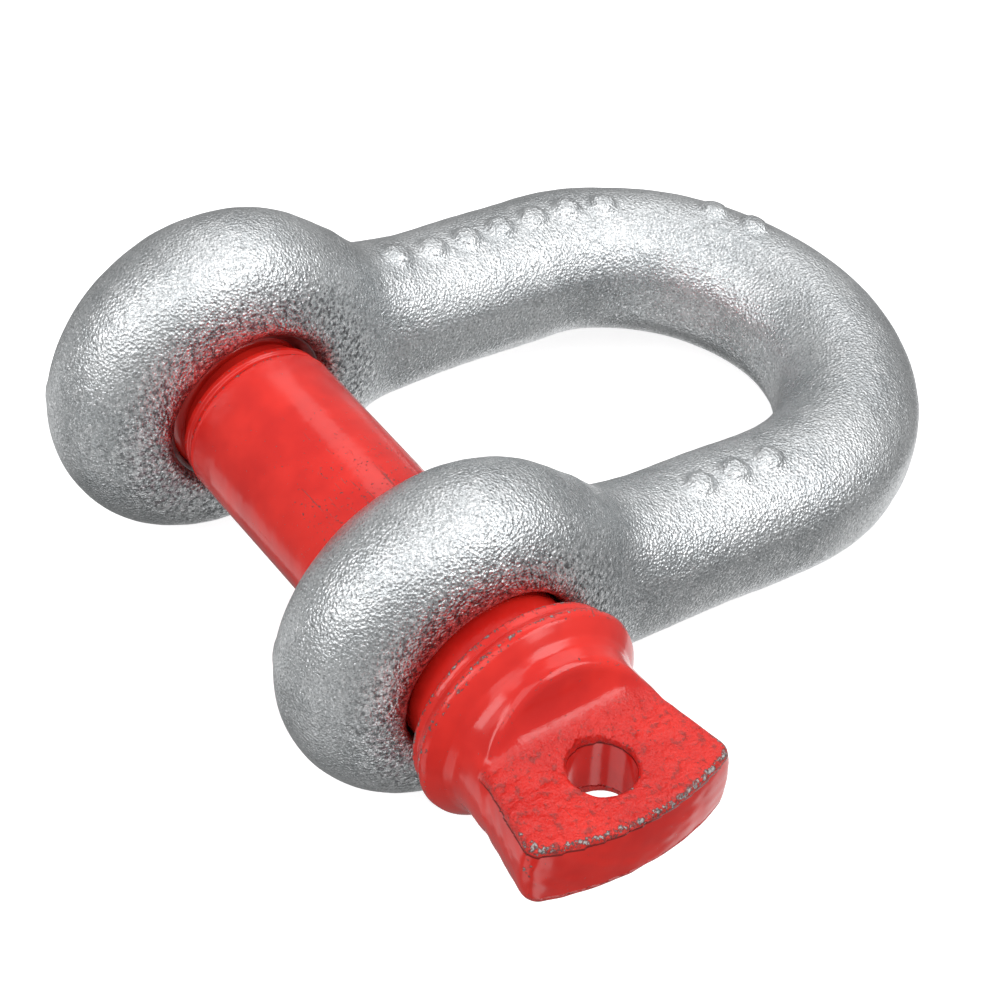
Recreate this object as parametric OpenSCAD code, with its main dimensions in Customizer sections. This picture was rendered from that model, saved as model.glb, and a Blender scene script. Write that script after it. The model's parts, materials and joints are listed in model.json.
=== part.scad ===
/* [Body] */
// Diameter of the forged bar in the legs and crown
body_d = 17.2; // [15.5:0.1:18]
// Centre distance between the two legs
leg_spacing = 47.8; // [46:0.2:52]
// Distance from the pin axis to the start of the round crown
leg_length = 44.8; // [42:0.2:60]
// Outside diameter of the two eyes
eye_d = 40.8; // [38:0.2:44]
// Width of each eye along the pin
eye_w = 18.3; // [17:0.1:20]
// Height of the web that blends each leg into its eye
neck_flare = 3.8; // [2:0.1:6]

/* [Bores] */
// Plain clearance bore in the eye beside the pin head
plain_bore_d = 20.8; // [20.6:0.1:22]
// Major diameter of the threaded bore in the far eye
thread_bore_d = 18.6; // [18.5:0.05:18.65]
// Rounding at the mouths of both bores
mouth_r = 2.2; // [1:0.1:3]

/* [Pin] */
// Shank diameter across the jaw
pin_d = 19; // [19:0.05:19.2]
// Thread pitch
pitch = 2.54; // [2:0.01:3]
// Gap left between the collar and the eye at rest
collar_gap = 1.8; // [1:0.1:3]
// Collar diameter
collar_d = 27; // [26:0.2:30]
// Width of the collar's rim
collar_rim = 1.6; // [1:0.1:3]

/* [Pin head] */
// Width of the flat head at its outer end
head_w = 26.4; // [24:0.2:27]
// Diameter of the round neck between the collar and the head
neck_d = 21.6; // [20:0.2:23]
// Thickness of the flat head
head_t = 8; // [7:0.1:10]
// Distance from the collar's rim to the tip of the head
head_l = 20; // [18:0.2:24]
// Height of the rounded end of the head
head_dome = 3; // [1:0.1:4]
// Diameter of the hole through the head
head_hole_d = 7.4; // [6:0.1:9]
// Distance from the tip of the head to the hole's centre
hole_inset = 8.1; // [7:0.1:10]
// Turn of the head about the pin at rest, in degrees
head_turn = 7; // [0:1:45]

/* [Hidden] */
$fn = 96;
GREY = [0.70, 0.72, 0.74];
RED = [0.80, 0.12, 0.09];
bar_r = body_d / 2;
crown_r = leg_spacing / 2;
eye_r = eye_d / 2;
eye_x = crown_r;
eye_core = plain_bore_d / 2 - 0.2;
jaw_half = eye_x - eye_w / 2;
outer_face = eye_x + eye_w / 2;
neck_end = eye_r + 8;
pin_r = pin_d / 2;
band_r = pin_r + 0.55;
thread_r = thread_bore_d / 2 - 0.05;
thread_root = thread_r - 0.61 * pitch;
groove_r = pin_r - 0.75;
tip_x = -outer_face - 0.8;
shank_x = -jaw_half + 1.5;
groove_x = shank_x - 1.9;
thread_x = groove_x - 0.5;
collar_x = outer_face + collar_gap;
collar_r = collar_d / 2;
rim_x = collar_x + 2.4 + collar_rim;
head_x = rim_x + head_l;
neck_r = neck_d / 2;
neck_x = rim_x + 3.8;
root_round = 2.2;
head_r = head_w / 2;
blade_r0 = neck_r - 0.4;
blade_r1 = head_r + 0.6;
dome_r = (head_r * head_r + head_dome * head_dome) / (2 * head_dome);
hole_x = head_x - hole_inset;
core_r = 3;
core_gap = 0.05;
core_x0 = -12;
core_x1 = 22;

// Points of an arc from angle a to angle b in n steps
function arc(c, r, a, b, n) =
    [for (i = [0 : n]) let (t = a + (b - a) * i / n) [c[0] + r * cos(t), c[1] + r * sin(t)]];

// Turns a profile of [radius, x] points about the pin axis
module about_pin(points) {
    rotate([0, 90, 0]) rotate([0, 0, 90]) rotate_extrude() polygon(points);
}

// Solid of one eye, centred on x = 0
module eye() {
    h = eye_w / 2;
    about_pin(concat(
        [[0, -h]],
        [for (t = [-90 : 7.5 : 90]) [eye_core + (eye_r - eye_core) * cos(t), h * sin(t)]],
        [[0, h]]));
}

// Bore along X through an eye centred on x = 0, with rounded mouths
module bore(r) {
    h = eye_w / 2;
    m = mouth_r;
    about_pin(concat(
        [[0, -h - 1], [r + m, -h - 1]],
        arc([r + m, -h + m], m, 270, 180, 5),
        arc([r + m, h - m], m, 180, 90, 5),
        [[r + m, h + 1], [0, h + 1]]));
}

// One leg along +Y
module leg() {
    rotate([-90, 0, 0]) cylinder(r = bar_r, h = leg_length);
}

// Web that blends a leg into its eye: a flare about the leg, a little thinner than the eye
module neck_web() {
    f = neck_flare;
    n = neck_end - eye_r + 5;
    fr = (n * n + f * f) / (2 * f);
    a = asin(n / fr);
    intersection() {
        rotate([-90, 0, 0]) rotate_extrude() polygon(concat(
            [[0, 0], [bar_r + f, 0]],
            [for (i = [0 : 7]) let (t = a * (1 - i / 8)) [bar_r + fr * (1 - cos(t)), neck_end - fr * sin(t)]],
            [[bar_r - 1, neck_end], [0, neck_end]]));
        rotate([0, 90, 0]) cylinder(r = 2 * eye_r, h = eye_w - 2.6, center = true);
    }
}

// Half ring that joins the two legs
module crown() {
    translate([0, leg_length, 0]) rotate_extrude(angle = 180)
        translate([crown_r, 0]) circle(r = bar_r);
}

module shackle_body() {
    color(GREY) difference() {
        union() {
            crown();
            for (s = [-1, 1]) {
                translate([s * crown_r, 0, 0]) leg();
                translate([s * eye_x, 0, 0]) neck_web();
                translate([s * eye_x, 0, 0]) eye();
            }
        }
        translate([eye_x, 0, 0]) bore(plain_bore_d / 2);
        translate([-eye_x, 0, 0]) bore(thread_bore_d / 2);
    }
}

// Threaded end, thread relief, shank, thicker band in the near eye, collar and neck as one turned shape
module turned_pin() {
    turns = floor((thread_x - tip_x - 2) / pitch);
    start = thread_x - turns * pitch;
    about_pin(concat(
        [[0, tip_x], [thread_root - 0.4, tip_x], [thread_root, tip_x + 0.4]],
        [for (i = [0 : turns - 1], k = [0 : 3])
            [k == 1 || k == 2 ? thread_r : thread_root, start + (i + [0.1, 0.42, 0.58, 0.9][k]) * pitch]],
        [[groove_r, thread_x], [groove_r, groove_x], [pin_r - 0.3, groove_x + 0.4],
         [pin_r - 0.3, groove_x + 1], [groove_r, groove_x + 1.15], [groove_r, groove_x + 1.45],
         [pin_r, shank_x], [pin_r, jaw_half - 0.55], [band_r, jaw_half],
         [band_r, collar_x - 0.9], [band_r + 0.4, collar_x],
         [collar_r - 1.9, collar_x + 0.5], [collar_r - 0.4, collar_x + 1.8],
         [collar_r, collar_x + 2.4], [collar_r, rim_x]],
        [[collar_r - 0.6, rim_x + 0.9]],
        arc([collar_r + 0.4, rim_x + 4.2], 3.6, 240, 193, 5),
        [[neck_r - 0.3, neck_x - 0.1], [0, neck_x - 0.1]]));
}

// Side outline of the flat head, in X and Z, with its fillet up to the round neck
module head_side() {
    h = head_t / 2;
    r = root_round;
    x = neck_x + 0.9 + r;
    top = concat([[rim_x, neck_r], [neck_x, neck_r]],
        arc([x, h + r], r, 180, 270, 6), [[head_x + 1, h]]);
    polygon(concat(top, [for (i = [len(top) - 1 : -1 : 0]) [top[i][0], -top[i][1]]]));
}

// Flat head that widens to a rounded end
module head() {
    intersection() {
        translate([rim_x + 1, 0, 0]) rotate([0, 90, 0])
            cylinder(r1 = blade_r0, r2 = blade_r1, h = head_l - 1);
        rotate([90, 0, 0]) linear_extrude(height = head_w + 2, center = true) head_side();
        translate([head_x - dome_r, 0, 0]) sphere(r = dome_r);
    }
}

module screw_pin() {
    color(RED) rotate([head_turn, 0, 0]) difference() {
        union() {
            turned_pin();
            head();
        }
        translate([hole_x, 0, -head_t]) cylinder(d = head_hole_d, h = 2 * head_t);
        translate([core_x0 - core_gap, 0, 0]) rotate([0, 90, 0])
            cylinder(r = core_r + core_gap, h = core_x1 - core_x0 + 2 * core_gap);
    }
}

// Heart of the pin, sealed inside it, that carries its travel
module pin_core() {
    color(GREY) translate([core_x0, 0, 0]) rotate([0, 90, 0]) cylinder(r = core_r, h = core_x1 - core_x0);
}

shackle_body();
screw_pin();
pin_core();
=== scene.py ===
import json
import math

import bpy
import numpy as np
from mathutils import Matrix, Vector


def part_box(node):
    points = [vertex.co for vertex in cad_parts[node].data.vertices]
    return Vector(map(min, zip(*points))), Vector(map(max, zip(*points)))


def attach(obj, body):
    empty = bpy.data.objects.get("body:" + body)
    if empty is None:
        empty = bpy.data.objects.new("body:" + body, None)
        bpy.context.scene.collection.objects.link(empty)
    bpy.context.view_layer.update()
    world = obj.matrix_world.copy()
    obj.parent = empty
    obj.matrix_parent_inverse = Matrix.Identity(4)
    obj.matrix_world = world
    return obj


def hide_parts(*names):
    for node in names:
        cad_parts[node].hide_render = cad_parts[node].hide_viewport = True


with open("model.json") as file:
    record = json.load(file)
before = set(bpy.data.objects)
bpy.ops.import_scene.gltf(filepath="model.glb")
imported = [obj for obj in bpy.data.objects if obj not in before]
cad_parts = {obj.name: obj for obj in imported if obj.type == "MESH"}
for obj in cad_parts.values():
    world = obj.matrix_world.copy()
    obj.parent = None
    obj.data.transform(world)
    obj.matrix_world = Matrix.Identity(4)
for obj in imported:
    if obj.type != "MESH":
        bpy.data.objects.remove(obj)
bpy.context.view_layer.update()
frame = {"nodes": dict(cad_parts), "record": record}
MM = 0.001

# ---------------------------------------------------------------- sizes in mm, from the CAD model
body_lo, body_hi = [[c / MM for c in p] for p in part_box("shackle_body")]
pin_lo, pin_hi = [[c / MM for c in p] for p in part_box("screw_pin")]
mounts = {m["name"]: m for m in frame["record"]["mounts"]}
EYE_R = -body_lo[1]
EYE_W = 18.3         # width of an eye along the pin
EYE_X = body_hi[0] - EYE_W / 2
EYE_CORE = 10.2      # radius at which an eye is at its full width
SEAT_Y = mounts["bow_seat"]["pos_m"][1] / MM
BAR_R = (body_hi[1] - SEAT_Y) / 2
R = EYE_X
L = body_hi[1] - BAR_R - R
NEAR_BORE = 10.4
FAR_BORE = 9.7
PIN_R = mounts["jaw_pin"]["dims"]["r_mm"]
JAW = EYE_X - EYE_W / 2
PITCH = 2.0e3 * math.pi / frame["record"]["behaviour"]["couplings"][0]["ratio"]
TIP_X = pin_lo[0]
HEAD_X = pin_hi[0]
HOLE_X = mounts["tommy_hole"]["pos_m"][0] / MM
HOLE_R = mounts["tommy_hole"]["dims"]["r_mm"]
hole_axis = mounts["tommy_hole"]["axis"]
TURN = math.atan2(-hole_axis[1], hole_axis[2])
BAND_R = 10.08       # radius of the pin inside the near eye
SEAM_X = 31.0        # where the shank's skin meets the head's, inside the near eye


# ---------------------------------------------------------------- distance fields and meshing
def smin(a, b, k):
    """The smaller of a and b, rounded over where they are within k of each other."""
    h = np.maximum(k - np.abs(a - b), 0.0) / k
    return np.minimum(a, b) - h * h * k * 0.25


def smax(a, b, k):
    return -smin(-a, -b, k)


def ramp(x, a, b):
    """A smooth step from 0 at a to 1 at b."""
    t = np.clip((x - a) / (b - a), 0.0, 1.0)
    return t * t * (3.0 - 2.0 * t)


def lumps(x, y, z, scale, seed):
    """Smooth low bumps between about -1 and 1: a few crossed waves in seeded directions."""
    rng = np.random.default_rng(seed)
    out = 0.0
    for _ in range(6):
        d = rng.normal(size=3)
        d *= rng.uniform(0.6, 1.4) / np.linalg.norm(d) * 2.0 * math.pi / scale
        out = out + np.sin(x * d[0] + y * d[1] + z * d[2] + rng.uniform(0, 6.28))
    return out / 3.5


def surface_net(field, lo, hi, h, relax=2):
    """Quad mesh of field = 0 inside a box: mean edge crossings, moved onto the surface."""
    n = [int(math.ceil((hi[k] - lo[k]) / h)) + 1 for k in range(3)]
    ax = [np.asarray(lo[k] + h * np.arange(n[k]), np.float32) for k in range(3)]
    f = np.empty(n, np.float32)
    for i0 in range(0, n[0], 24):
        g = np.meshgrid(ax[0][i0:i0 + 24], ax[1], ax[2], indexing="ij")
        f[i0:i0 + 24] = field(*g)
    cells = [m - 1 for m in n]
    ids, pts = [], []
    for axis in range(3):
        a = [slice(None)] * 3
        b = [slice(None)] * 3
        a[axis], b[axis] = slice(0, -1), slice(1, None)
        f0, f1 = f[tuple(a)], f[tuple(b)]
        at = np.argwhere((f0 < 0) != (f1 < 0))
        v0, v1 = f0[tuple(at.T)], f1[tuple(at.T)]
        p = at.astype(float)
        p[:, axis] += v0 / (v0 - v1)
        o1, o2 = [k for k in range(3) if k != axis]
        around = []
        for d1, d2 in ((-1, -1), (0, -1), (0, 0), (-1, 0)):
            c = at.copy()
            c[:, o1] += d1
            c[:, o2] += d2
            around.append(c)
        c = np.stack(around, 1)
        ok = ((c >= 0) & (c < np.array(cells))).all(axis=(1, 2))
        c, p, inward = c[ok], p[ok], v0[ok] > v1[ok]
        flat = (c[..., 0] * cells[1] + c[..., 1]) * cells[2] + c[..., 2]
        flip = inward if axis != 1 else ~inward
        flat[flip] = flat[flip][:, ::-1]
        ids.append(flat)
        pts.append(np.repeat(p[:, None], 4, axis=1).reshape(-1, 3))
    quads = np.concatenate(ids)
    key, where = np.unique(quads, return_inverse=True)
    quads = where.reshape(-1, 4)
    p, w = np.concatenate(pts), quads.reshape(-1)
    count = np.bincount(w, minlength=len(key))
    v = np.stack([np.bincount(w, p[:, k], len(key)) / count for k in range(3)], 1) * h + np.array(lo)

    def project(v, times=2):
        for _ in range(times):
            d = field(*v.T)
            g = gradient(field, v)
            step = d[:, None] * g / np.maximum((g * g).sum(1), 0.05)[:, None]
            length = np.linalg.norm(step, axis=1)
            v = v - step * np.minimum(1.0, 0.7 * h / np.maximum(length, 1e-9))[:, None]
        return v

    v = project(v)
    a, b = quads.reshape(-1), np.roll(quads, -1, axis=1).reshape(-1)
    for _ in range(relax):
        both_a, both_b = np.concatenate([a, b]), np.concatenate([b, a])
        near = np.bincount(both_a, minlength=len(v))
        mean = np.stack([np.bincount(both_a, v[both_b, k], len(v)) / near for k in range(3)], 1)
        g = gradient(field, v)
        g /= np.maximum(np.linalg.norm(g, axis=1), 1e-6)[:, None]
        step = 0.5 * (mean - v)
        v = v + step - (step * g).sum(1)[:, None] * g
        v = project(v, 1)
    return v, quads


def gradient(field, v, e=0.03):
    g = np.empty_like(v)
    for k in range(3):
        o = np.zeros(3)
        o[k] = e
        g[:, k] = (field(*(v + o).T) - field(*(v - o).T)) / (2 * e)
    return g


def edge_wear(field, v, e):
    """How convex the surface is at each vertex, in 1/mm: high on outer edges, negative in fillets."""
    g = gradient(field, v)
    g /= np.maximum(np.linalg.norm(g, axis=1), 1e-6)[:, None]
    t = np.cross(g, np.where(np.abs(g[:, :1]) < 0.7, [[1.0, 0, 0]], [[0, 1.0, 0]]))
    t /= np.linalg.norm(t, axis=1)[:, None]
    s = np.cross(g, t)
    total = -4 * field(*v.T)
    for d in (t, s):
        total += field(*(v + e * d).T) + field(*(v - e * d).T)
    return total / (e * e)


def make_object(name, v, faces, material, body, attributes=(), replaces=()):
    mesh = bpy.data.meshes.new(name)
    mesh.vertices.add(len(v))
    mesh.vertices.foreach_set("co", (v * MM).astype(np.float32).ravel())
    mesh.loops.add(faces.size)
    mesh.loops.foreach_set("vertex_index", faces.astype(np.int32).ravel())
    mesh.polygons.add(len(faces))
    mesh.polygons.foreach_set("loop_start", np.arange(0, faces.size, faces.shape[1], dtype=np.int32))
    mesh.update(calc_edges=True)
    mesh.validate()
    mesh.polygons.foreach_set("use_smooth", np.ones(len(mesh.polygons), bool))
    for key, values in attributes:
        at = mesh.attributes.new(key, "FLOAT", "POINT")
        at.data.foreach_set("value", values.astype(np.float32))
    mesh.materials.append(material)
    obj = bpy.data.objects.new(name, mesh)
    bpy.context.scene.collection.objects.link(obj)
    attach(obj, body)
    if replaces:
        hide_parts(*replaces)


# ---------------------------------------------------------------- forged body
# Rows of identical round studs: first place along the bow, place around the bar, how many, in mm
STUD_ROWS = [(24.0, -0.6, 7), (67.0, 1.6, 2), (123.0, 0.8, 3)]
STUD_STEP = 4.9
STUD_R = 1.5
STUD_HEIGHT = 0.7
INNER_FLAT = 0.42    # forging flats along the bow's inside and outside
OUTER_FLAT = 0.16
EYE_RIDGE = 0.13     # parting line on the eyes


def bow_coordinates(x, y):
    """Distance outside the bow's centre line, and the length along it from the far eye."""
    up = y > L
    cy = np.where(up, y - L, 0.0)
    rho = np.hypot(x, cy) - R
    t = np.where(up, L + R * np.arctan2(cy, -x), np.where(x < 0, y, 2 * L + math.pi * R - y))
    return rho, t


def studs(t, w):
    """1 on a stud and 0 off it, by place along the bow and around the bar."""
    out = np.zeros_like(t)
    for first, around, count in STUD_ROWS:
        for k in range(count):
            d = np.hypot(t - first - k * STUD_STEP, w - around) - STUD_R
            out = np.maximum(out, 1.0 - ramp(d, -0.5, 0.5))
    return out


def body_field(x, y, z):
    """Bow, two rounded eyes blended to its legs, and their bores."""
    side = np.abs(x) - EYE_X
    q = np.hypot(y, z)
    a, b, n = EYE_R - EYE_CORE - 0.15, EYE_W / 2 - 0.15, 2.05
    u, w = np.maximum(q - EYE_CORE, 0.0) / a, np.abs(side) / b
    g = np.maximum(u ** n + w ** n, 1e-4) ** (1 / n)
    eye = (g - 1) / (np.hypot(u ** (n - 1) / a, w ** (n - 1) / b) * g ** (1 - n) + 0.01)
    eye = eye - EYE_RIDGE * np.exp(-(z / 0.7) ** 2) * ramp(-y, -2, 8)
    rho, t = bow_coordinates(x, y)
    flare = np.clip((29.5 - y) / 14.0, 0.0, 1.0)
    rz = BAR_R + 3.9 * flare ** 2
    rx = BAR_R - 0.6 * ramp(-y, -26.0, -17.0)
    bar = (np.hypot(rho / rx, z / rz) - 1.0) * np.minimum(rx, rz)
    arc = BAR_R * (math.pi / 2 - np.arctan2(z, rho))
    bar = bar - STUD_HEIGHT * studs(t, arc)
    bar = smax(bar, -rho - (BAR_R - INNER_FLAT), 0.35)
    bar = smax(bar, rho - (BAR_R - OUTER_FLAT), 0.5)
    bar = np.maximum(bar, 10.0 - y)
    d = smin(eye, bar, 2.9)
    d = d + 0.05 * lumps(x, y, z, 11.0, 3) + 0.02 * lumps(x, y, z, 4.0, 4)
    bore = np.where(x > 0, NEAR_BORE, FAR_BORE) - q
    return smax(d, bore, 2.6)


# ---------------------------------------------------------------- pin
# Turned outline of the band, the collar's two ridges and the neck, as (x, radius)
COLLAR = [
    (28.0, BAND_R), (34.75, BAND_R), (35.0, 10.3), (35.35, 12.0), (35.8, 12.75), (36.2, 12.7),
    (36.7, 12.6), (37.3, 13.05), (38.0, 13.48), (38.7, 13.3), (39.4, 12.6), (40.1, 11.8),
    (40.9, 11.3), (41.8, 11.1), (43.0, 11.0), (60.0, 11.0),
]
fine_x = np.arange(28.0, 60.0, 0.05)
fine_r = np.interp(fine_x, *zip(*COLLAR))
kernel = np.exp(-np.linspace(-2, 2, 7) ** 2)
fine_r = np.convolve(np.pad(fine_r, 3, mode="edge"), kernel / kernel.sum(), mode="valid")
fine_s = np.gradient(fine_r, 0.05)
HEAD_R = 13.2
DOME = 3.0           # how far the head's end bulges
DOME_R = (HEAD_R ** 2 + DOME ** 2) / (2 * DOME)
HALF_T = 4.0         # half the blade's thickness
NECK_X = 43.0


def head_field(x, y, z):
    """Collar and round neck, cut back to a flat blade with a rounded end and a drilled hole."""
    c, s = math.cos(TURN), math.sin(TURN)
    y, z = c * y + s * z, c * z - s * y
    q = np.hypot(y, z)
    r = np.interp(x, fine_x, fine_r)
    slope = np.interp(x, fine_x, fine_s)
    turned = (q - r) / np.sqrt(1 + slope ** 2)
    turned = smax(turned, 0.92 * (x - NECK_X - 0.34 * (10.8 - np.abs(z))), 0.9)
    turned = np.maximum(turned, SEAM_X - x)
    cone_r = np.interp(x, [40.0, 60.0], [10.3, 13.75])
    dome = np.hypot(np.hypot(x - (HEAD_X - 0.1 - DOME_R), y), 0.9 * z) - DOME_R
    blade = smax(q - cone_r, dome, 1.5)
    blade = smax(blade, np.abs(z) - HALF_T - 0.02 * np.abs(y), 0.75)
    blade = np.maximum(blade, 40.0 - x)
    blade = blade + (0.03 * lumps(x, y, z, 3.7, 11) + 0.02 * lumps(x, y, z, 1.6, 12)) * ramp(x, 44, 46)
    d = smin(turned, blade, 4.6 - 3.4 * ramp(np.abs(y), 6.0, 10.5))
    return smax(d, HOLE_R - np.hypot(x - HOLE_X, y), 0.45)


def thread_radius(x, theta, crest, root, gap):
    """Radius of a right-hand thread with flat crests and roots; gap widens the groove."""
    u = np.mod(x / PITCH - theta / (2 * math.pi), 1.0)
    h = np.abs(u - 0.5) * 2.0
    return root + (crest - root) * np.clip((0.86 - gap - h) / 0.62, 0.0, 1.0)


def sweep(xs, radius, n, closed_lo, closed_hi):
    """A skin of rings about the X axis, its radius a function of x and the angle, with capped ends."""
    theta = 2 * math.pi * np.arange(n) / n
    xx, tt = np.meshgrid(xs, theta, indexing="ij")
    rr = radius(xx, tt)
    v = np.stack([xx, rr * np.cos(tt), rr * np.sin(tt)], -1).reshape(-1, 3)
    i, j = np.meshgrid(np.arange(len(xs) - 1), np.arange(n), indexing="ij")
    k = (j + 1) % n
    quads = np.stack([i * n + j, i * n + k, (i + 1) * n + k, (i + 1) * n + j], -1).reshape(-1, 4)
    caps = []
    for closed, ring, x in ((closed_lo, 0, xs[0]), (closed_hi, len(xs) - 1, xs[-1])):
        if not closed:
            continue
        base = len(v)
        inner = v[ring * n:(ring + 1) * n].copy()
        for f in (0.75, 0.4, 0.1):
            v = np.concatenate([v, inner * [1, f, f]])
        outer = ring * n + np.arange(n)
        for m in range(3):
            nxt = base + m * n + np.arange(n)
            a, b = np.arange(n), (np.arange(n) + 1) % n
            q = np.stack([outer[a], nxt[a], nxt[b], outer[b]], -1)
            caps.append(q if ring == 0 else q[:, ::-1])
            outer = nxt
        v = np.concatenate([v, [[x, 0, 0]]])
        a = np.arange(0, n, 2)
        q = np.stack([outer[a], np.full(len(a), len(v) - 1), outer[(a + 2) % n], outer[a + 1]], -1)
        caps.append(q if ring == 0 else q[:, ::-1])
    return v, np.concatenate([quads] + caps)


SHANK_X = -JAW + 1.5
THREAD_END = SHANK_X - 3.2
SHANK_END = 31.6     # hidden in the head's skin
RELIEF_R = 8.15      # groove beside the thread, below the far eye's thread crests
shank_x = [SHANK_X - 3.4, SHANK_X - 2.9, SHANK_X - 2.0, SHANK_X - 1.6, SHANK_X - 1.0, SHANK_X - 0.8,
           SHANK_X - 0.5, SHANK_X - 0.15, SHANK_X + 0.15, 15.4, 17.0, SHANK_END]
shank_r = [RELIEF_R, RELIEF_R, RELIEF_R, 9.2, 9.2, 8.9, 8.9, 9.3, PIN_R, PIN_R, BAND_R, BAND_R]


def pin_radius(x, theta):
    thread = thread_radius(x, theta, 9.32, 8.0, 0.06)
    thread = np.minimum(thread, 7.6 + (x - TIP_X) * 1.1)
    fade = ramp(x, SHANK_X - 4.6, SHANK_X - 3.4) * (thread > RELIEF_R)
    thread = thread + (RELIEF_R - thread) * fade
    plain = np.interp(x, shank_x, shank_r)
    return np.where(x < THREAD_END, thread, plain)


NUT_LO, NUT_HI = -EYE_X - EYE_W / 2 + 2.0, -JAW - 2.0


def nut_radius(x, theta):
    r = thread_radius(x, theta, 9.62, 8.34, -0.02)
    return np.maximum(r, 9.66 - 1.2 * np.minimum(x - NUT_LO, NUT_HI - x))


# ---------------------------------------------------------------- material nodes
class Nodes:
    def __init__(self, name):
        self.material = bpy.data.materials.new(name)
        self.material.use_nodes = True
        self.tree = self.material.node_tree
        self.tree.nodes.clear()

    def add(self, kind, inputs=(), **props):
        node = self.tree.nodes.new("ShaderNode" + kind)
        for k, v in props.items():
            setattr(node, k, v)
        for k, v in dict(inputs).items():
            if isinstance(v, bpy.types.NodeSocket):
                self.tree.links.new(v, node.inputs[k])
            else:
                node.inputs[k].default_value = v
        return node

    def math(self, op, a, b=0.0, clamp=False):
        return self.add("Math", {0: a, 1: b}, operation=op, use_clamp=clamp).outputs[0]

    def mix(self, f, a, b):
        return self.add("Mix", {0: f, 6: a, 7: b}, data_type="RGBA").outputs[2]

    def noise(self, at, scale, detail=2.0, rough=0.5, distort=0.0):
        return self.add("TexNoise", {"Vector": at, "Scale": scale, "Detail": detail, "Roughness": rough,
                                     "Distortion": distort}).outputs[0]

    def ramp(self, v, lo, hi, a=0.0, b=1.0):
        values = {0: v, 1: lo, 2: hi, 3: a, 4: b}
        return self.add("MapRange", values, interpolation_type="SMOOTHSTEP").outputs[0]

    def stretch(self, at, scale, turn=(0, 0, 0)):
        return self.add("Mapping", {0: at, 2: turn, 3: scale}).outputs[0]

    def attribute(self, name):
        return self.add("Attribute", attribute_name=name).outputs["Fac"]

    def bump(self, height, distance, strength=1.0, normal=None):
        ins = {"Strength": strength, "Distance": distance, "Height": height}
        if normal:
            ins["Normal"] = normal
        return self.add("Bump", ins).outputs[0]

    def finish(self, inputs):
        shader = self.add("BsdfPrincipled", inputs)
        out = self.add("OutputMaterial")
        self.tree.links.new(shader.outputs[0], out.inputs[0])
        return self.material


def rgb(r, g, b):
    return (r, g, b, 1.0)


def galvanised():
    n = Nodes("galvanised_zinc")
    at = n.add("TexCoord").outputs["Object"]
    cloud = n.noise(at, 90.0, 4.0, 0.6)
    mottle = n.noise(at, 700.0, 3.0, 0.6)
    grain_and_painted_glints = n.noise(at, 3600.0, 2.0, 0.6, 0.4)
    cells = {"Vector": at, "Scale": 3000.0, "Smoothness": 0.4}
    pebble = n.add("TexVoronoi", cells, feature="SMOOTH_F1").outputs[0]
    tone = n.mix(n.ramp(cloud, 0.3, 0.7), rgb(0.50, 0.525, 0.54), rgb(0.66, 0.68, 0.69))
    tone = n.mix(n.ramp(mottle, 0.42, 0.72, 0.0, 0.45), tone, rgb(0.80, 0.81, 0.82))
    # Near-black and near-white specks in the base colour: partly the zinc's own texture, partly painted
    # reflections and painted glints.
    tone = n.mix(n.ramp(grain_and_painted_glints, 0.32, 0.47, 0.62, 0.0), tone, rgb(0.20, 0.205, 0.21))
    tone = n.mix(n.ramp(grain_and_painted_glints, 0.54, 0.68, 0.0, 0.8), tone, rgb(0.93, 0.94, 0.95))
    # On the eyes' faces by the bores: rough zinc whose near-black and near-white flecks are partly its own
    # texture, partly painted reflections and painted glints.
    coarse_zinc_painted_glints = n.attribute("coarse_zinc_painted_glints")
    patch = n.noise(at, 1900.0, 3.0, 0.7)
    dark_fleck_painted_reflection = n.math("MULTIPLY", coarse_zinc_painted_glints, n.ramp(patch, 0.40, 0.52, 0.85, 0.0))
    tone = n.mix(dark_fleck_painted_reflection, tone, rgb(0.10, 0.105, 0.11))
    bright_fleck_painted_glint = n.math("MULTIPLY", coarse_zinc_painted_glints, n.ramp(patch, 0.54, 0.64, 0.0, 0.9))
    tone = n.mix(bright_fleck_painted_glint, tone, rgb(0.95, 0.96, 0.97))
    speckle = n.ramp(n.noise(at, 1500.0, 3.0, 0.75), 0.46, 0.60)
    spray = n.math("MULTIPLY", n.attribute("spray"), speckle, True)
    tone = n.mix(n.math("MULTIPLY", spray, 0.6), tone, rgb(0.46, 0.12, 0.18))
    rough = n.math("ADD", n.ramp(cloud, 0.2, 0.8, 0.20, 0.31), n.ramp(grain_and_painted_glints, 0.3, 0.7, 0.10, 0.0))
    nor = n.bump(mottle, 0.00006, 0.4)
    nor = n.bump(pebble, 0.00010, 1.0, nor)
    nor = n.bump(grain_and_painted_glints, 0.00009, 1.0, nor)
    return n.finish({"Base Color": tone, "Metallic": 1.0, "Roughness": rough, "Normal": nor})


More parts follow.
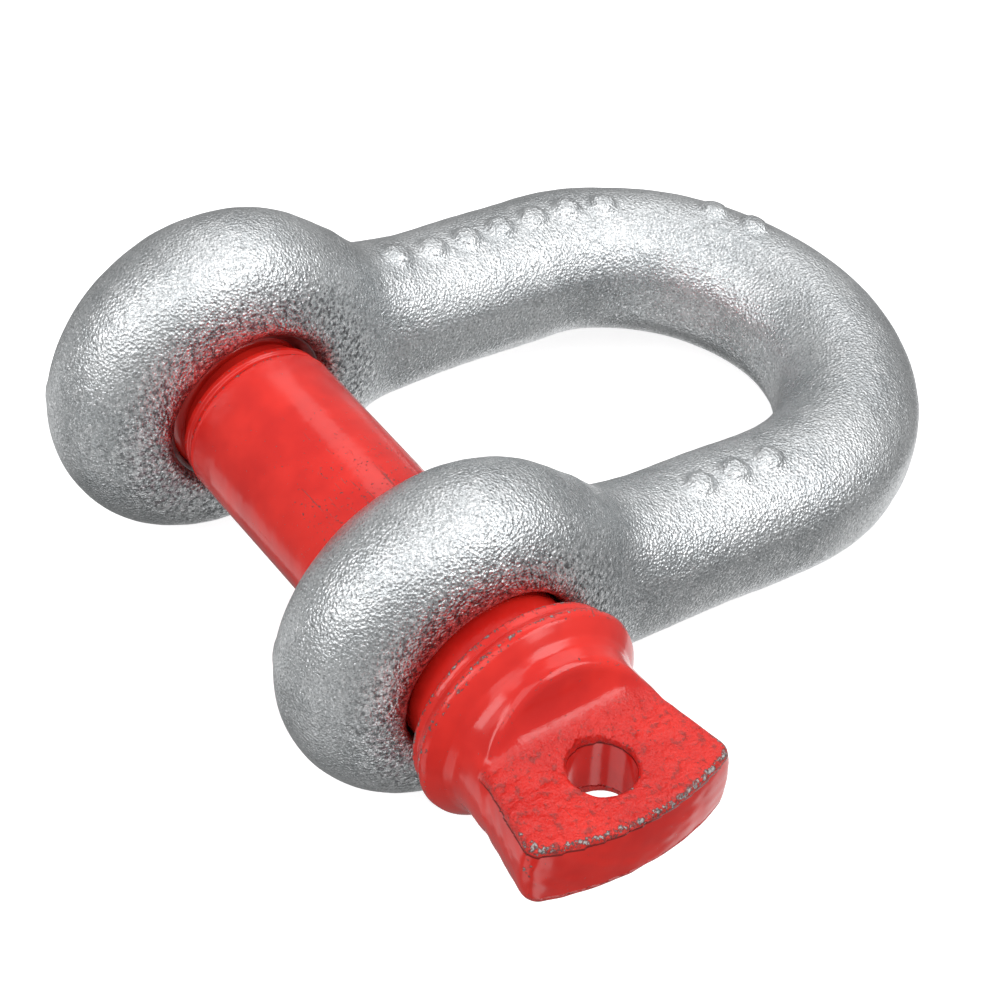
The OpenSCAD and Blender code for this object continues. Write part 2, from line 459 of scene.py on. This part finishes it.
def red_paint(name, flat_rough):
    n = Nodes(name)
    at = n.add("TexCoord").outputs["Object"]
    cloud = n.noise(at, 120.0, 3.0, 0.6)
    chips = n.noise(at, 1700.0, 4.0, 0.7)
    specks = n.noise(at, 2600.0, 3.0, 0.6)
    scratch = n.noise(n.stretch(at, (160.0, 2600.0, 2600.0)), 1.0, 3.0, 0.6)
    red = n.mix(n.ramp(cloud, 0.3, 0.7), rgb(0.62, 0.014, 0.010), rgb(0.78, 0.024, 0.015))
    edge = n.attribute("edge")
    worn = n.math("ADD", edge, n.ramp(chips, 0.3, 0.75, -0.7, 0.7))
    bare = n.ramp(worn, 1.04, 1.2)
    rim = n.ramp(worn, 0.76, 0.92, 0.0, 0.85)
    where = n.math("ADD", n.ramp(cloud, 0.45, 0.75, 0.0, 0.05), n.attribute("scuff"))
    speck = n.ramp(n.math("ADD", specks, n.math("MULTIPLY", where, 0.085)), 0.70, 0.77)
    scored = n.math("ADD", scratch, n.math("MULTIPLY", n.attribute("scuff"), 0.10))
    line = n.ramp(scored, 0.73, 0.80, 0.0, 0.7)
    dirt = n.math("MAXIMUM", n.math("MAXIMUM", speck, line, True), rim)
    red = n.mix(dirt, red, rgb(0.11, 0.050, 0.045))
    metal = n.mix(n.ramp(specks, 0.35, 0.6), rgb(0.12, 0.11, 0.11), rgb(0.55, 0.54, 0.53))
    tone = n.mix(bare, red, metal)
    worn_rough = n.math("MULTIPLY", n.math("MAXIMUM", bare, dirt), 0.25)
    rough = n.math("ADD", n.ramp(cloud, 0.3, 0.7, 0.13, 0.22), worn_rough)
    if flat_rough:
        peel = n.noise(at, 1000.0, 4.0, 0.65)
        lump = n.noise(at, 480.0, 2.0, 0.5)
        # Darker red in the hollows of the peel bump: painted shade.
        pit_painted_shade = n.math("MULTIPLY", n.ramp(peel, 0.48, 0.34), n.math("MULTIPLY", n.attribute("rough"), 0.7))
        tone = n.mix(pit_painted_shade, tone, rgb(0.27, 0.03, 0.025))
        rough = n.math("ADD", rough, n.math("MULTIPLY", n.attribute("rough"), 0.16))
        both = n.math("ADD", peel, lump)
        nor = n.bump(n.math("MULTIPLY", both, n.attribute("rough")), 0.0006, 1.0)
        nor = n.bump(n.noise(at, 300.0, 2.0), 0.00010, 0.5, nor)
    else:
        nor = n.bump(n.noise(n.stretch(at, (500.0, 250.0, 250.0)), 1.0, 2.0), 0.00012, 0.5)
    nor = n.bump(n.math("SUBTRACT", 1.0, n.math("MAXIMUM", bare, dirt)), 0.00006, 0.8, nor)
    return n.finish({"Base Color": tone, "Metallic": n.math("MULTIPLY", bare, 0.8), "Roughness": rough,
                     "Specular IOR Level": 0.5, "Normal": nor})


def bare_steel(name, low, high):
    n = Nodes(name)
    at = n.add("TexCoord").outputs["Object"]
    turned = n.noise(n.stretch(at, (9000.0, 300.0, 300.0)), 1.0, 2.0, 0.6)
    cloud = n.noise(at, 500.0, 4.0, 0.6)
    tone = n.mix(n.ramp(cloud, 0.3, 0.7), low, high)
    return n.finish({"Base Color": tone, "Metallic": 1.0, "Roughness": n.ramp(cloud, 0.3, 0.7, 0.28, 0.45),
                     "Normal": n.bump(turned, 0.00003, 0.5)})


# ---------------------------------------------------------------- pieces
def forged_body(material):
    """Bow and eyes in one skin, with red overspray by the bores, and rough zinc on the eyes' faces with
    painted reflections and glints.
    """
    grid = 0.54
    v, faces = surface_net(body_field, [-34.2, -22.0, -21.6], [34.2, 78.6, 21.6], grid)
    q = np.hypot(v[:, 1], v[:, 2])
    face_on = np.abs(np.abs(v[:, 0]) - EYE_X) / (EYE_W / 2)
    # Mask on the eyes' faces by the bores for rough zinc with painted reflections and glints.
    coarse_zinc_painted_glints = (1 - ramp(q, 14.0, 19.5)) * ramp(face_on, 0.1, 0.7)
    spray = (1 - ramp(q, 10.5, 17.0)) * ramp(face_on, 0.35, 0.8)
    spray *= ramp((0.5 * v[:, 2] - 0.9 * v[:, 1]) / q, -0.3, 0.8)
    spray *= np.where(np.abs(v[:, 0] - 3.0) > EYE_X, 0.35 + 0.65 * (v[:, 0] > 0), 0.8)
    make_object("forged_body", v, faces, material, "shackle",
                [("spray", spray), ("coarse_zinc_painted_glints", coarse_zinc_painted_glints)], ["shackle_body"])


def far_eye_thread(material):
    """A closed sleeve in the far eye: helical thread inside, plain wall outside."""
    n = 144
    xs = np.arange(NUT_LO, NUT_HI + 0.01, (NUT_HI - NUT_LO) / 120)
    v, faces = sweep(xs, nut_radius, n, False, False)
    outer = v.copy()
    outer[:, 1:] *= (10.6 / np.hypot(v[:, 1], v[:, 2]))[:, None]
    a, b = np.arange(n), (np.arange(n) + 1) % n
    end = (len(xs) - 1) * n
    caps = np.concatenate([np.stack([a, b, b + len(v), a + len(v)], -1),
                           np.stack([b + end, a + end, a + end + len(v), b + end + len(v)], -1)])
    make_object("far_eye_thread", np.concatenate([v, outer]),
                np.concatenate([faces[:, ::-1], faces + len(v), caps]), material, "shackle")


def pin_shank(material):
    """Threaded end, relief groove, shank and band; worn on the thread's crests and the groove's edges."""
    plain_start = SHANK_X + 0.4
    xs = np.concatenate([np.arange(TIP_X, THREAD_END, PITCH / 18), np.arange(THREAD_END, plain_start, 0.1),
                         np.arange(plain_start, SHANK_END, 0.45), [SHANK_END]])
    v, faces = sweep(xs, pin_radius, 144, True, True)
    x, y, z = v.T
    scuff = ramp(x, -10.0, 12.0) * ramp(z, -2.0, 8.0)
    edge = np.exp(-((x - SHANK_X - 0.1) / 0.3) ** 2) * 0.7 + np.exp(-((x - SHANK_X + 1.3) / 0.4) ** 2) * 0.4
    edge = np.where(x < THREAD_END, 0.9 * ramp(np.hypot(y, z), 8.9, 9.3), edge)
    make_object("pin_shank", v, faces, material, "pin",
                [("edge", edge), ("scuff", scuff), ("rough", 0 * edge)], ["screw_pin"])


def pin_head(material):
    """Collar, neck and flat head; worn on its outer edges, rough on its two flats."""
    grid = 0.27
    v, faces = surface_net(head_field, [SEAM_X - 0.6, -14.2, -14.2], [HEAD_X + 0.8, 14.2, 14.2], grid)
    wear = edge_wear(head_field, v, 0.45)
    c, s = math.cos(TURN), math.sin(TURN)
    x, z = v[:, 0], c * v[:, 2] - s * v[:, 1]
    flat = ramp(x, 44.5, 46.5) * (np.abs(z) > HALF_T - 0.7)
    scuff = np.exp(-((x - 35.8) / 0.6) ** 2) * 1.5 + 0.3 * flat
    edge = np.clip((wear - 0.2) * 0.7, -0.6, 0.75)
    end = ramp(x, HEAD_X - 7.0, HEAD_X - 3.5)
    in_hole = np.hypot(x - HOLE_X, c * v[:, 1] + s * v[:, 2]) < HOLE_R + 0.8
    edge = edge + ramp(edge, 0.1, 0.5) * (0.34 * end * (z > 0) + 0.12 * end - 0.35 * in_hole)
    edge = edge + 0.12 * np.exp(-((x - 38.0) / 0.35) ** 2) + 0.12 * np.exp(-((x - 35.8) / 0.3) ** 2)
    make_object("pin_head", v, faces, material, "pin",
                [("edge", edge), ("scuff", scuff), ("rough", flat)])


def pin_core(material):
    core = frame["nodes"]["pin_core"]
    core.data.materials.clear()
    core.data.materials.append(material)


zinc = galvanised()
red_head = red_paint("red_paint_forged", True)
red_shank = red_paint("red_paint_turned", False)
steel = bare_steel("bare_steel", rgb(0.36, 0.35, 0.35), rgb(0.50, 0.49, 0.48))
thread_zinc = bare_steel("cut_thread", rgb(0.30, 0.30, 0.31), rgb(0.48, 0.48, 0.49))
forged_body(zinc)
far_eye_thread(thread_zinc)
pin_shank(red_shank)
pin_head(red_head)
pin_core(steel)


# ---------------------------------------------------------------- floor and backdrop
def paint_stage(obj, name, inputs):
    """Makes obj a self-lit surface that the camera sees and the object's reflections don't."""
    obj.name = name
    inputs = {"Emission Color": rgb(1, 1, 1), **inputs}
    obj.data.materials.append(Nodes(name + "_white").finish(inputs))
    obj.visible_glossy = False
    obj.visible_diffuse = False
    obj.visible_shadow = False


# The shackle lies with its eyes and its crown on the floor, so in its own frame the floor is tilted
tilt = math.asin((EYE_R - BAR_R) / (L + R))
bpy.ops.mesh.primitive_grid_add(x_subdivisions=8, y_subdivisions=8, size=10.0)
floor = bpy.context.object
down = Vector((0, -math.sin(tilt), math.cos(tilt))) * (-(EYE_R + 0.15) * MM)
floor.matrix_world = Matrix.Translation(down) @ Matrix.Rotation(tilt, 4, "X")
paint_stage(floor, "floor", {"Base Color": rgb(0.7, 0.7, 0.7), "Roughness": 0.9, "Emission Strength": 0.72})

bpy.ops.mesh.primitive_uv_sphere_add(segments=48, ring_count=24, radius=5.0)
backdrop = bpy.context.object
paint_stage(backdrop, "backdrop", {"Base Color": rgb(0.0, 0.0, 0.0), "Roughness": 1.0,
                                   "Specular IOR Level": 0.0, "Emission Strength": 0.9})


# ---------------------------------------------------------------- light
def studio_world():
    """Grey surroundings, darker below and paler above."""
    world = bpy.data.worlds.new("studio")
    bpy.context.scene.world = world
    world.use_nodes = True
    tree = world.node_tree
    tree.nodes.clear()
    coord = tree.nodes.new("ShaderNodeTexCoord")
    split = tree.nodes.new("ShaderNodeSeparateXYZ")
    half = tree.nodes.new("ShaderNodeMath")
    half.operation = "MULTIPLY_ADD"
    half.inputs[1].default_value = 0.5
    half.inputs[2].default_value = 0.5
    sky = tree.nodes.new("ShaderNodeValToRGB")
    back = tree.nodes.new("ShaderNodeBackground")
    back.inputs[1].default_value = 1.0
    out = tree.nodes.new("ShaderNodeOutputWorld")
    tree.links.new(coord.outputs["Generated"], split.inputs[0])
    tree.links.new(split.outputs[2], half.inputs[0])
    tree.links.new(half.outputs[0], sky.inputs[0])
    tree.links.new(sky.outputs[0], back.inputs[0])
    tree.links.new(back.outputs[0], out.inputs[0])
    stops = sky.color_ramp.elements
    stops[0].position, stops[0].color = 0.15, rgb(0.23, 0.23, 0.23)
    stops[1].position, stops[1].color = 0.92, rgb(0.62, 0.62, 0.62)
    stops.new(0.55).color = rgb(0.46, 0.46, 0.46)


def softbox(name, direction, distance, size, power):
    """A rectangular light that faces the object and isn't itself seen."""
    light = bpy.data.lights.new(name, "AREA")
    light.shape = "RECTANGLE"
    light.size, light.size_y = size
    light.energy = power
    obj = bpy.data.objects.new(name, light)
    bpy.context.scene.collection.objects.link(obj)
    obj.visible_camera = False
    d = Vector(direction).normalized()
    aim = Vector((0, 0.025, 0))
    obj.matrix_world = Matrix.Translation(aim + d * distance) @ d.to_track_quat("Z", "Y").to_matrix().to_4x4()


studio_world()
softbox("key_right", (0.53, 0.37, 0.77), 1.0, (0.6, 0.6), 4.0)
softbox("top_front", (0.29, -0.50, 0.82), 1.0, (0.8, 0.8), 2.6)
softbox("top_back", (-0.35, 0.40, 0.85), 1.0, (0.8, 0.7), 2.0)
softbox("table_glow_back", (-0.15, 0.70, -0.70), 0.8, (0.8, 0.5), 1.1)
softbox("table_glow_front", (0.10, -0.72, -0.69), 0.8, (0.5, 0.5), 0.6)
softbox("table_glow_right", (0.68, -0.15, -0.72), 0.8, (0.25, 0.5), 0.5)
softbox("table_glow_left", (-0.75, -0.35, -0.55), 0.8, (0.5, 0.5), 0.5)
softbox("side_left", (-0.15, -0.87, 0.45), 1.0, (0.3, 0.7), 2.4)


# ---------------------------------------------------------------- camera
def photo_camera(az, el, roll, pin_middle, lens):
    """A camera at az and el over the tilted floor; pin_middle is right of, above and ahead of it."""
    back = np.array([math.sin(az) * math.cos(el), -math.cos(az) * math.cos(el), math.sin(el)])
    right = np.array([math.cos(az), math.sin(az), 0.0])
    rows = np.array([right, np.cross(back, right), -back])
    cr, sr = math.cos(roll), math.sin(roll)
    ct, st = math.cos(tilt), math.sin(tilt)
    rows = np.array([[cr, -sr, 0], [sr, cr, 0], [0, 0, 1]]) @ rows
    rows = rows @ np.array([[1, 0, 0], [0, ct, st], [0, -st, ct]])
    place = -rows.T @ pin_middle
    camera = bpy.data.objects.new("camera", bpy.data.cameras.new("camera"))
    bpy.context.scene.collection.objects.link(camera)
    m = np.eye(4)
    m[:3, :3] = np.stack([rows[0], rows[1], -rows[2]], 1)
    m[:3, 3] = place
    camera.matrix_world = Matrix(m.tolist())
    camera.data.sensor_width = 36.0
    camera.data.lens = lens
    camera.data.clip_start = 0.01
    camera.data.clip_end = 20.0
    bpy.context.scene.camera = camera


pin_middle = np.array([-19.1, 0.8, 346.1]) * MM
photo_camera(math.radians(54.8), math.radians(46.7), math.radians(-0.2), pin_middle, 113.5)
bpy.context.scene.view_settings.view_transform = "Standard"
